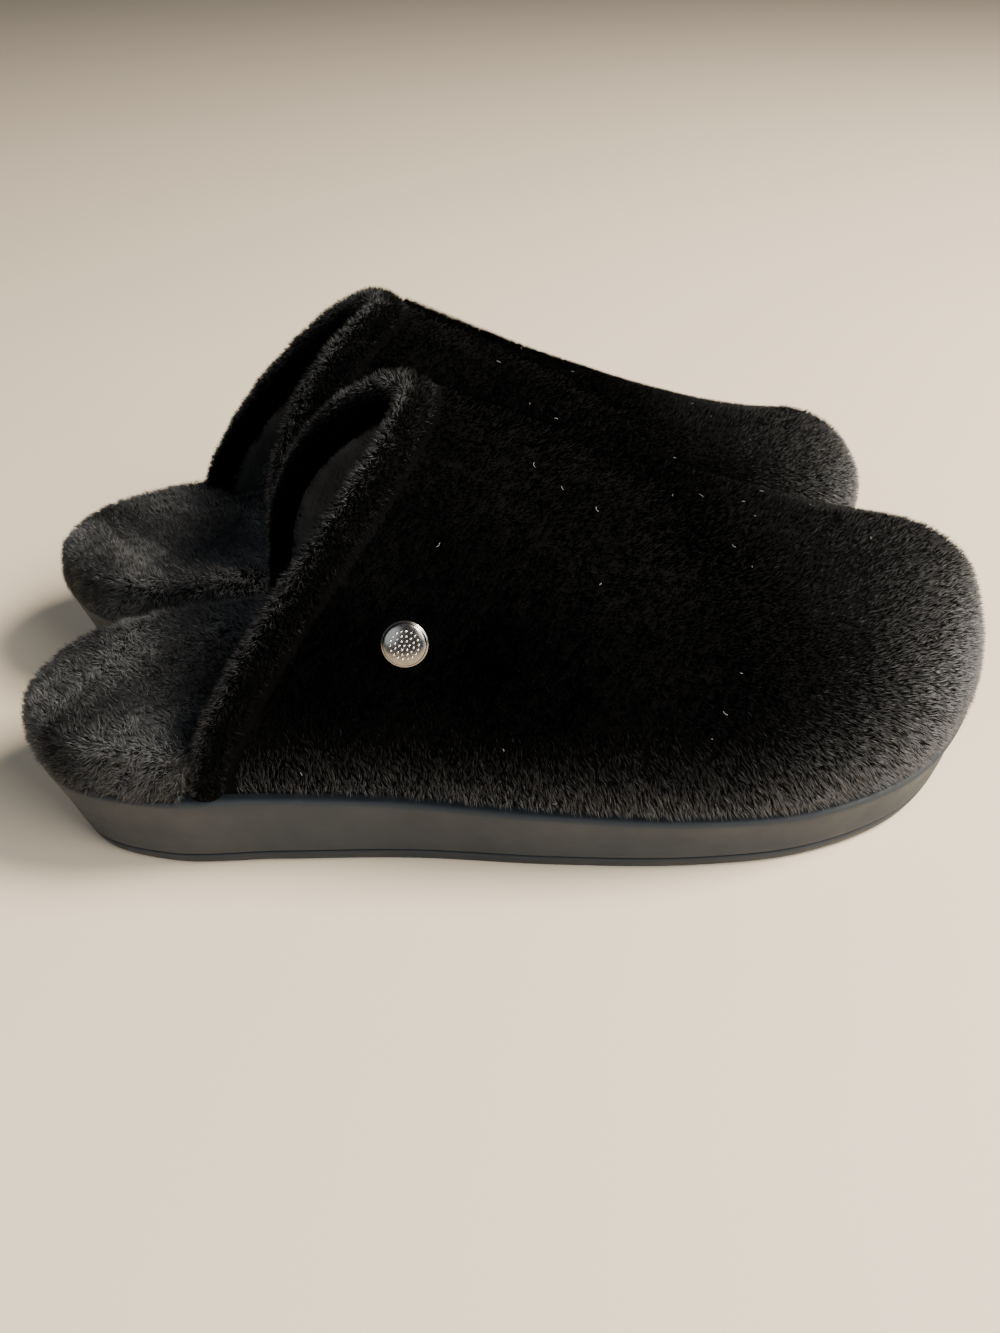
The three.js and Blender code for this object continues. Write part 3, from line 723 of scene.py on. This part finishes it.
def footbed_inset(u, way):
    """Where the footbed's plush ends: at the sole's edge at the heel, inside the upper further on."""
    x = edge(u, way)[0][..., 0]
    shoulder = by_side(SHOULDER, way) + SKIRT_PAST
    under = smoothstep(x, shoulder - 2, shoulder + 2)
    core = mix(1 + SOCK_THICK + 2 * GAP, 14.4 + 2.4 * smoothstep(x, 190, 262), under)
    return core - GAP - mix(SOCK_THICK, 0.8, under), under


def footbed_height(flat, u, way, lift):
    """Height of the footbed's top at points between the spine and the rim."""
    middle = spine(u)
    rim = edge(u, way)[0]
    ray = rim - middle
    share = ((flat - middle) * ray).sum(-1) / np.maximum((ray * ray).sum(-1), 1e-9)
    base = mix(sole_top(middle[..., 0]), sole_top(rim[..., 0]), share)
    return base + FOAM_LOW + footbed_rise(flat[..., 0], flat[..., 1]) + lift


FOOTBED_ROUND = 4.5


def footbed_surface(u, way, s):
    """The footbed's plush, from the spine (s = 0) over its rounded rim (s = 1) and down its skirt
    to the sole (s = 2)."""
    u, way, s = np.broadcast_arrays(*[np.asarray(v, float) for v in (u, way, s)])
    inset, under = footbed_inset(u, way)
    rim = sole_point(u, way, inset)
    middle = spine(u)
    flat = mix(middle, rim[..., :2], np.clip(s, 0, 1)[..., None])
    top = footbed_height(flat, u, way, SOCK_THICK + GAP)
    from_rim = np.linalg.norm(flat - rim[..., :2], axis=-1)
    round_off = np.clip(1 - from_rim / FOOTBED_ROUND, 0, 1)
    drop = FOOTBED_ROUND * (1 - np.sqrt(np.clip(1 - round_off**2, 0, 1)))
    down = np.clip(s - 1, 0, 1)
    skirt_end = by_side(SHOULDER, way) + SKIRT_PAST - 2
    low = rim[..., 2] + GAP
    held = smoothstep(edge(u, way)[0][..., 0], skirt_end - 4, skirt_end)
    foot = mix(low, top - SOCK_THICK, held)
    z = mix(top - drop, foot, down)
    belly = np.sin(down * math.pi) * 0.9 * (1 - under)
    inward = edge(u, way)[1]
    flat = flat - inward * belly[..., None]
    return raised(flat, z)


def surface_normal(surface, p, q):
    step = 1e-3
    along = surface(p + step, q) - surface(p - step, q)
    other = surface(p, q + step) - surface(p, q - step)
    return unit(np.cross(along, other))


def build_footbed():
    u, way = round_the_sole(200)
    rows = []
    flat, rounded, skirt = np.linspace(0, 0.8, 14), np.linspace(0.83, 1, 14), np.linspace(1.12, 2, 9)
    for s in np.concatenate([flat, rounded, skirt]):
        rows.append(footbed_surface(u, way, s))
    inset, under = footbed_inset(u, way)
    inner = inset + mix(SOCK_THICK, 0.8, under)
    skirt = rows[-1]
    rows.append(raised(sole_point(u, way, inner)[:, :2], skirt[:, 2]))
    rim = sole_point(u, way, inner)
    top = footbed_height(rim[:, :2], u, way, GAP)
    rows.append(raised(rim[:, :2], np.maximum(top - 1.0, skirt[:, 2] + 0.2)))
    rows += spine_rows(u, way, rim, 8, lambda flat, share: footbed_height(flat, u, way, GAP))[::-1]
    stacked = np.stack(rows)
    lumps = wobble(stacked, 22, 11) * 0.35
    stacked[1:22, :, 2] += lumps[1:22]
    points, faces = loft(stacked)
    record("footbed_plush", points, faces, [FOOTBED_PLUSH], "plush", ["footbed_cover"], fill=0.55)

    def place(p):
        """(u, side) of a share of the way round the outline."""
        t = np.mod(p, 1.0)
        return np.where(t < 0.5, 2 * t, 2 - 2 * t), np.where(t < 0.5, LATERAL, MEDIAL)

    def surface(p, s):
        return footbed_surface(*place(p), s)

    grid = (np.linspace(0, 1, 240), np.linspace(0, 1.97, 60))

    def weight(p, s):
        here = surface(p, s)
        shown = 1 - smoothstep(here[..., 0], 105, 150)
        return mix(0.12, 1, shown) * (1 - smoothstep(here[..., 0], 165, 200))

    rng = np.random.default_rng(21)
    p, s = scatter(rng, many(FOOTBED_FIBRES), surface, grid, weight)
    under = footbed_inset(*place(p))[1]
    keep = (s < 1) | (under < 0.3)
    p, s = p[keep], s[keep]
    roots = surface(p, s)
    normals = -surface_normal(surface, p, s)
    nap = np.stack([wobble(roots, 60, 31), wobble(roots, 60, 32), np.full(len(roots), -0.5)], -1)
    nap[:, 0] -= 0.6
    nap = unit(nap - normals * (nap * normals).sum(-1, keepdims=True))
    pressed = np.exp(-(((roots[:, 0] - 45) / 30) ** 2) - (roots[:, 1] / 20) ** 2)
    light = 0.8 + 0.14 * wobble(roots, 30, 33) + 0.06 * (s > 0.9)
    tall = 2.4 - 0.9 * pressed
    pile("footbed_pile", roots, normals, nap, tall, 0.3, light, 41, tilt=0.6)


TUCK = 0.016  # the upper's plush and lining run this far back into the cuff's seam


def shell(outer_depth, inner_depth, height, stations, arc, foot_round):
    """A closed layer of the upper between two depths, with a rounded foot."""
    w = mix(-TUCK, 1, np.linspace(0, 1, stations) ** 0.92)
    rows = []
    for at in w:
        share = [foot_share(at, way, height) for way in (LATERAL, MEDIAL)]
        a = np.linspace(-share[0], share[1], arc)
        bend = np.linspace(-1, 1, arc)
        outer = upper_offset(at, a, outer_depth + foot_round * np.abs(bend) ** 24)
        inner = upper_offset(at, a, inner_depth)
        rows.append(np.concatenate([outer, inner[::-1]]))
    rings = np.stack(rows)
    return loft(rings, cap=True)


def near_stud(points):
    """How far points are from the stud's axis, in millimetres."""
    centre = upper_point(STUD_W, STUD_A)
    axis = upper_normal(STUD_W, STUD_A)
    apart = points - centre
    return np.linalg.norm(apart - (apart @ axis)[..., None] * axis, axis=-1)


STUD_CLEAR = 0.9  # the pile keeps this far from the stud's rim


def build_upper():
    points, faces = shell(0.2, PLUSH_THICK, GAP, 130, 181, 1.4)
    creases = wobble(points, 46, 5)[:, None] * 0.35
    dish = 1.1 * np.exp(-((near_stud(points) / 8.5) ** 4))[:, None] * (points[:, 1:2] < 0)
    away = unit(points - np.array([150.0, 0, 40.0]))
    points = points - away * (0.3 - creases * 0.6) - upper_normal(STUD_W, STUD_A) * dish
    record("upper_plush", points, faces, [PLUSH], "plush", ["upper_shell"], fill=0.3)

    def painted_light_at_ends(where):
        """Painted light: the pile gets lighter shades towards the toe, less so high up on it, and low
        down along the sole, where the pile is shown greyer by the light.
        """
        toe = smoothstep(where[:, 0], 165, 275) * (1 - 0.35 * smoothstep(where[:, 2], 35, 60))
        low = 1 - smoothstep(where[:, 2], 16, 60)
        return 0.88 * toe + low * (1 - 0.7 * toe)

    rng = np.random.default_rng(61)
    for name, low, high, seed in (
        ("upper_pile_back", 0.004, 0.46, 62),
        ("upper_pile_front", 0.46, 0.999, 63),
    ):
        grid = (np.linspace(low, high, 90), np.linspace(-0.985, 0.985, 160))
        w, a = scatter(rng, many(UPPER_FIBRES), upper_point, grid)
        roots = upper_point(w, a)
        clear = (near_stud(roots) > STUD_RADIUS + STUD_CLEAR) | (roots[:, 1] > 0)
        w, a, roots = w[clear], a[clear], roots[clear]
        normals = upper_normal(w, a)
        along = unit(upper_point(w + 1e-3, a) - upper_point(w - 1e-3, a))
        down = np.array([0, 0, -1.0]) * np.ones((len(w), 1))
        nap = along * 0.6 + down * 0.7
        nap = unit(nap - normals * (nap * normals).sum(-1, keepdims=True))
        # painted light: the pile's shades are made lighter at the toe and along the sole
        light = painted_light_at_ends(roots) + 0.02 * wobble(roots, 40, seed)
        roots = roots - normals * 0.3
        pile(name, roots, normals, nap, 1.9, 0.27, light, seed, tilt=0.4, rough=0.5)


def build_lining():
    points, faces = shell(LINING_DEPTH, UPPER_THICK, 1.8, 70, 111, 0.0)
    record("lining_plush", points, faces, [LINING_PLUSH], "plush", ["upper_lining"], fill=0.3)

    def inside(w, a):
        return upper_offset(w, a, UPPER_THICK)

    grid = (np.linspace(0.02, 0.55, 60), np.linspace(-0.9, 0.9, 120))
    rng = np.random.default_rng(71)
    w, a = scatter(rng, many(LINING_FIBRES), inside, grid, lambda w, a: 1.2 - 1.6 * w)
    roots = inside(w, a)
    normals = -upper_normal(w, a)
    nap = unit(upper_point(w - 1e-3, a) - upper_point(w + 1e-3, a))
    # painted light: the lining's pile takes the lightest shades, standing in for light inside the
    # opening
    pile("lining_pile", roots, normals, nap, 2.2, 0.36, np.full(len(w), 1.0), 72)


def cuff_surface(a, turn):
    """The cuff's padded roll: a is -1 to 1 round the opening, and turn goes round its section,
    0 facing back into the opening and a quarter facing out."""
    a, turn = np.broadcast_arrays(np.asarray(a, float), np.asarray(turn, float))
    centre, normal, back = cuff_frame(a)
    angle = turn * 2 * math.pi
    cos, sin = np.cos(angle), np.sin(angle)
    squareness = 0.86
    cos = np.sign(cos) * np.abs(cos) ** squareness
    sin = np.sign(sin) * np.abs(sin) ** squareness
    puff = 1 + 0.05 * wobble(centre, 17, 81) + 0.03 * wobble(centre, 7, 82)
    ends = smoothstep(np.abs(a), 0.93, 1)
    wide = (CUFF_WIDTH / 2 - 0.4) * puff * (1 - 0.1 * ends)
    deep = (CUFF_THICK / 2 - 0.6) * puff * (1 - 0.08 * ends)
    point = centre + back * (cos * wide)[..., None] + normal * (sin * deep)[..., None]
    floor_z = sole_top(point[..., 0]) + GAP
    point[..., 2] = np.where(np.abs(a) >= 1, floor_z, np.maximum(point[..., 2], floor_z))
    return point


def build_cuff():
    a = np.linspace(-1, 1, 150)
    turn = np.arange(32) / 32 + 0.5 / 32
    rings = cuff_surface(a[:, None], turn[None, :])
    points, faces = loft(rings, cap=True)
    record("cuff_roll", points, faces, [PLUSH], "plush", ["cuff_cover"], fill=0.7)

    grid = (np.linspace(-0.995, 0.995, 220), np.linspace(0, 1, 49))
    rng = np.random.default_rng(91)
    a, turn = scatter(rng, many(CUFF_FIBRES), cuff_surface, grid)
    roots = cuff_surface(a, turn)
    centre, _, back = cuff_frame(a)
    normals = unit(roots - centre)
    nap = unit(-back * 0.4 + np.array([0, 0, -0.4]))
    nap = unit(nap - normals * (nap * normals).sum(-1, keepdims=True))
    # Painted highlights: lighter, speckled pile shades along the cuff's inner fold edge and along its
    # seam stand in for light catching the fibre tips there.
    fold_highlight = np.exp(-(((np.mod(turn + 0.5, 1) - 0.57) / 0.11) ** 2))
    seam = np.exp(-(((turn - 0.44) / 0.045) ** 2))
    glint_speckle = np.clip(rng.normal(size=len(a)), 0, 2)
    light = 0.2 + (0.7 * fold_highlight + 0.45 * seam) * (0.5 + glint_speckle)
    pile("cuff_pile", roots, normals, nap, 1.9, 0.24, light, 92, tilt=0.25, cell=1.8)


def build_seam():
    """The stitches that sew the cuff to the upper, deep in the groove between them."""
    stitches = 74
    sides = 6
    steps = 7
    points, faces = [], []
    for k in range(stitches):
        a = mix(-0.96, 0.96, (k + np.linspace(0.08, 0.92, steps)) / stitches)
        line = upper_point(np.zeros(steps), a)
        normal = upper_normal(np.zeros(steps), a)
        bow = np.sin(np.linspace(0, math.pi, steps))[:, None]
        line = line + normal * (0.4 * bow - 1.5)
        along = unit(np.gradient(line, axis=0))
        other = unit(np.cross(along, normal))
        up = np.cross(other, along)
        radius = 0.42 * np.sqrt(np.clip(np.sin(np.linspace(0.12, math.pi - 0.12, steps)), 0, 1))
        angle = np.arange(sides) * 2 * math.pi / sides
        ring = line[:, None] + radius[:, None, None] * (
            other[:, None] * np.cos(angle)[None, :, None] + up[:, None] * np.sin(angle)[None, :, None]
        )
        made, quads = loft(ring, cap=True)
        faces.append(quads + sum(len(p) for p in points))
        points.append(made)
    points, faces = np.concatenate(points), np.concatenate(faces)
    record("cuff_stitches", points, faces, [THREAD], "thread", ["cuff_thread"])


def lathe(radii, heights, sides):
    """A closed turned shape round its own +z axis."""
    angle = np.arange(sides) * 2 * math.pi / sides
    ring = np.stack([np.cos(angle), np.sin(angle), np.zeros(sides)], -1)
    rows = ring[None] * np.array(radii)[:, None, None]
    rows[..., 2] = np.array(heights)[:, None]
    return welded(rows.reshape(-1, 3), grid_faces(len(radii), sides, loop=True), 1e-5)


def build_stud():
    """A domed satin cap with a rolled rim and rings of small raised beads."""
    dome_high = 1.7

    def dome(r):
        return STUD_SEAT + 1 + dome_high * np.sqrt(np.clip(1 - (r / STUD_RADIUS) ** 2 * 0.92, 0, 1))

    inner = STUD_RADIUS - 0.55
    radii = [0, STUD_RADIUS - 0.7, STUD_RADIUS - 0.25, STUD_RADIUS, STUD_RADIUS, STUD_RADIUS - 0.2]
    heights = [STUD_SEAT, STUD_SEAT, STUD_SEAT + 0.1, STUD_SEAT + 0.4, STUD_SEAT + 0.95, STUD_SEAT + 1.3]
    radii += [STUD_RADIUS - 0.42, inner]
    heights += [STUD_SEAT + 1.3, float(dome(inner)) - 0.22]
    for r in np.linspace(inner - 0.15, 0, 16):
        radii.append(float(r))
        heights.append(float(dome(r)))
    points, faces = lathe(radii, heights, 72)
    groups = [(points, faces, 0)]
    bead = 0.31
    turns = np.linspace(-math.pi / 2, math.pi / 2, 9)
    for count, ring in ((1, 0.0), (6, 1.15), (12, 2.2), (18, 3.3)):
        for k in range(count):
            angle = 2 * math.pi * (k + 0.5 * (count == 12)) / count
            ball, quads = lathe(bead * np.cos(turns), bead * np.sin(turns), 12)
            high = float(dome(ring)) + 0.08
            ball = ball + np.array([ring * math.cos(angle), ring * math.sin(angle), high])
            groups.append((ball, quads, 1))
    axis = upper_normal(STUD_W, STUD_A)
    right = unit(np.cross([0.0, 0.0, 1.0], axis))
    up = np.cross(axis, right)
    turn = np.stack([right, up, axis])
    centre = upper_point(STUD_W, STUD_A)
    points, faces, shades, start = [], [], [], 0
    for made, quads, shade in groups:
        points.append(made @ turn + centre)
        faces.append(quads + start)
        shades.append(np.full(len(quads), shade))
        start += len(made)
    points, faces, shades = (np.concatenate(v) for v in (points, faces, shades))
    metals = [STUD_METAL, BEAD_METAL]
    record("stud_dome", points, faces, metals, "stud_metal", ["stud_cap"], shades=shades)


LINT_HAIRS = 26
LINT_RADIUS = 0.055


def build_lint(side):
    """A few specks and short hairs of lint caught on one slipper's upper."""
    rng = np.random.default_rng(7 if side == "right" else 8)
    w, a = rng.uniform(0.06, 0.85, LINT_HAIRS), rng.uniform(-0.95, 0.4, LINT_HAIRS)
    sides, steps = 5, 6
    last = sides * steps
    tube = grid_faces(steps, sides, loop=True)
    j = np.arange(sides)
    near = np.stack([np.full(sides, last), j, (j + 1) % sides], -1)
    far = np.stack([np.full(sides, last + 1), last - sides + (j + 1) % sides, last - sides + j], -1)
    hair = np.concatenate([tube[:, [0, 1, 2]], tube[:, [0, 2, 3]], near, far])
    angle = j * 2 * math.pi / sides
    t = np.linspace(-0.5, 0.5, steps)[:, None]
    points, faces = [], []
    for k in range(LINT_HAIRS):
        root, normal = upper_point(w[k], a[k]), upper_normal(w[k], a[k])
        way = unit(np.cross(normal, rng.normal(size=3)))
        size = rng.uniform(0.4, 1.5)
        bow = np.cross(way, normal) * (0.25 - t**2) * rng.uniform(-1.4, 1.4)
        line = root + normal * 2.15 + (way * t + bow) * size
        other = unit(np.cross(unit(np.gradient(line, axis=0)), normal))
        ring = line[:, None] + LINT_RADIUS * (
            other[:, None] * np.cos(angle)[None, :, None] + normal * np.sin(angle)[None, :, None]
        )
        points.append(np.concatenate([ring.reshape(-1, 3), line[:1], line[-1:]]))
        faces.append(hair + k * (last + 2))
    points, faces = np.concatenate(points), np.concatenate(faces)
    record("lint", points, faces, [LINT], "plush", only=side)


build_midsole()
build_outsole()
build_footbed()
build_upper()
build_lining()
build_cuff()
build_seam()
build_stud()
for side in ("right", "left"):
    build_lint(side)
for side in ("right", "left"):
    for piece in PIECES:
        place_piece(side, *piece)


# ---- stage, light and camera ----


def build_floor():
    size = 4.0  # half of its width, in metres
    mesh = bpy.data.meshes.new("floor")
    corners = [(-size, -size, 0), (size, -size, 0), (size, size, 0), (-size, size, 0)]
    mesh.from_pydata(corners, [], [(0, 1, 2, 3)])
    floor = bpy.data.objects.new("floor", mesh)
    bpy.context.scene.collection.objects.link(floor)
    mat, tree, shader = material("floor_paint", (0.88, 0.75, 0.58), 0.6, specular=0.12)
    colour = ramp(tree, noise(tree, 3, 3), (0.3, (0.87, 0.74, 0.57)), (0.7, (0.89, 0.76, 0.59)))
    tree.links.new(colour, shader.inputs["Base Color"])
    mesh.materials.append(mat)


def area_light(name, place, target, size, power, colour):
    data = bpy.data.lights.new(name, "AREA")
    data.shape = "DISK"
    data.size = size
    data.energy = power
    data.color = colour
    light = bpy.data.objects.new(name, data)
    light.location = place
    light.rotation_euler = (Vector(target) - Vector(place)).to_track_quat("-Z", "Y").to_euler()
    bpy.context.scene.collection.objects.link(light)


build_floor()
area_light("key", (1.0, -0.25, 1.15), (0, 0, 0), 0.6, 55, (1, 0.9, 0.77))
area_light("fill", (0.9, -1.0, 0.9), (0, 0, 0), 1.0, 22, (1, 0.95, 0.88))
area_light("heel_fill", (-0.7, -0.7, 0.6), (0, 0, 0.05), 0.8, 2.2, (0.88, 0.94, 1))
area_light("blue_card", (0.5, -0.9, 0.1), (0, 0, 0.08), 0.3, 0.5, (0.4, 0.5, 1))
world = bpy.data.worlds.new("studio")
world.use_nodes = True
world.node_tree.nodes["Background"].inputs["Color"].default_value = (0.84, 0.92, 1, 1)
world.node_tree.nodes["Background"].inputs["Strength"].default_value = 0.12
bpy.context.scene.world = world

# The camera stands beside the right slipper's outer side and looks down across both. Its place is
# given on the floor, in millimetres: the right slipper's heel tip lies HEEL_LEFT to its left and
# HEEL_AHEAD in front, with the pair's toes turned PAIR_TURN away from square to the view.
CAMERA_HIGH = 214.0
CAMERA_PITCH = math.radians(36.93)
CAMERA_ROLL = math.radians(-1.17)
CAMERA_FOCUS = 1077.0  # focal length in pixels of a 1000 by 1333 picture
HEEL_LEFT = 125.4
HEEL_AHEAD = 221.9
PAIR_TURN = math.radians(10.265)


def build_camera():
    data = bpy.data.cameras.new("camera")
    camera = bpy.data.objects.new("camera", data)
    bpy.context.scene.collection.objects.link(camera)
    bpy.context.scene.camera = camera
    data.sensor_width = 36
    data.lens = CAMERA_FOCUS / 1333 * 36
    data.clip_start, data.clip_end = 0.01, 50
    turn = Matrix.Rotation(-PAIR_TURN, 3, "Z")
    place = Vector((ORIGIN_X, -SLIPPER_SPACING / 2, 0)) - turn @ Vector((-HEEL_LEFT, HEEL_AHEAD, 0))
    place.z = CAMERA_HIGH
    ahead = turn @ Vector((0, math.cos(CAMERA_PITCH), -math.sin(CAMERA_PITCH)))
    right = ahead.cross(Vector((0, 0, 1))).normalized()
    up = right.cross(ahead)
    rolled = math.cos(CAMERA_ROLL) * right + math.sin(CAMERA_ROLL) * up
    above = math.cos(CAMERA_ROLL) * up - math.sin(CAMERA_ROLL) * right
    axes = Matrix((rolled, above, -ahead)).transposed()
    camera.matrix_world = Matrix.Translation(place / 1000) @ axes.to_4x4()


build_camera()
